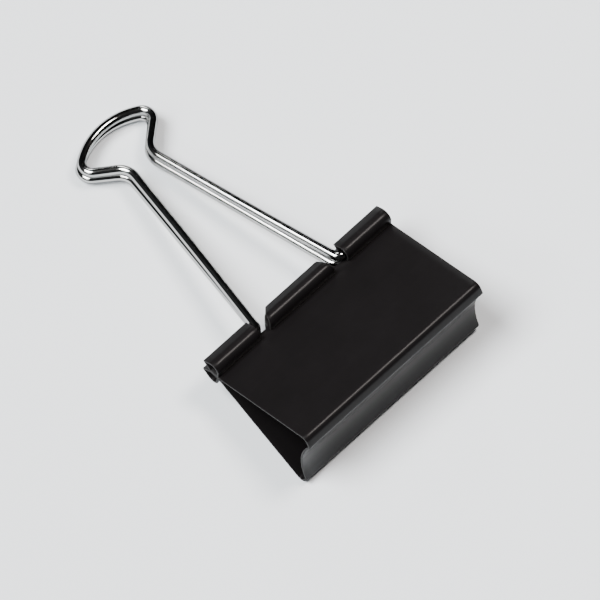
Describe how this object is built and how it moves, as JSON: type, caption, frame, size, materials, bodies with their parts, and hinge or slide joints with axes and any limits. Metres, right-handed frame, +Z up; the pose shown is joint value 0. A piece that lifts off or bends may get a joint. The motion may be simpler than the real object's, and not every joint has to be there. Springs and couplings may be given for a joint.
{
  "type": "binder clip",
  "caption": "Large black binder clip: a folded spring-steel body with a hollow back and rolled lips, and wire handles that swing from the jaws to fold flat or pinch it open.",
  "frame": {"origin": "on the table, under the middle of the resting clip's bounding box", "axes": "+X along the jaws to the right-hand knuckles, +Y from the hollow back to the handle loops, +Z up"},
  "size_m": [0.051, 0.0888, 0.0224],
  "materials": {
    "enamel": "satin black baked enamel on spring steel",
    "nickel": "bright nickel plate on steel wire"
  },
  "bodies": {
    "back": {"back_strip": "enamel"},
    "upper_jaw": {"upper_plate": "enamel", "upper_left_knuckle": "enamel", "upper_right_knuckle": "enamel", "upper_lip": "enamel"},
    "lower_jaw": {"lower_plate": "enamel", "lower_left_knuckle": "enamel", "lower_right_knuckle": "enamel", "lower_lip": "enamel"},
    "upper_handle": {"upper_handle": "nickel"},
    "lower_handle": {"lower_handle": "nickel"}
  },
  "joints": [
    {"name": "upper_jaw_flex", "type": "hinge", "parent": "back", "child": "upper_jaw", "pos_m": [0, -0.04371, 0.02165], "axis": [1, 0, 0], "range_deg": [0, 25], "stiffness_Nm_per_rad": 0.4, "springref_deg": -14.32},
    {"name": "lower_jaw_flex", "type": "hinge", "parent": "back", "child": "lower_jaw", "pos_m": [0, -0.04319, 0.00068], "axis": [-1, 0, 0], "range_deg": [0, 25], "stiffness_Nm_per_rad": 0.4, "springref_deg": -14.32},
    {"name": "upper_handle_swing", "type": "hinge", "parent": "upper_jaw", "child": "upper_handle", "pos_m": [0, -0.01555, 0.01355], "axis": [1, 0, 0], "range_deg": [0, 168]},
    {"name": "lower_handle_swing", "type": "hinge", "parent": "lower_jaw", "child": "lower_handle", "pos_m": [0, -0.01547, 0.01019], "axis": [-1, 0, 0], "range_deg": [0, 147.4]}
  ],
  "couplings": [
    {"joint": "lower_jaw_flex", "follows": "upper_jaw_flex", "ratio": 1}
  ]
}
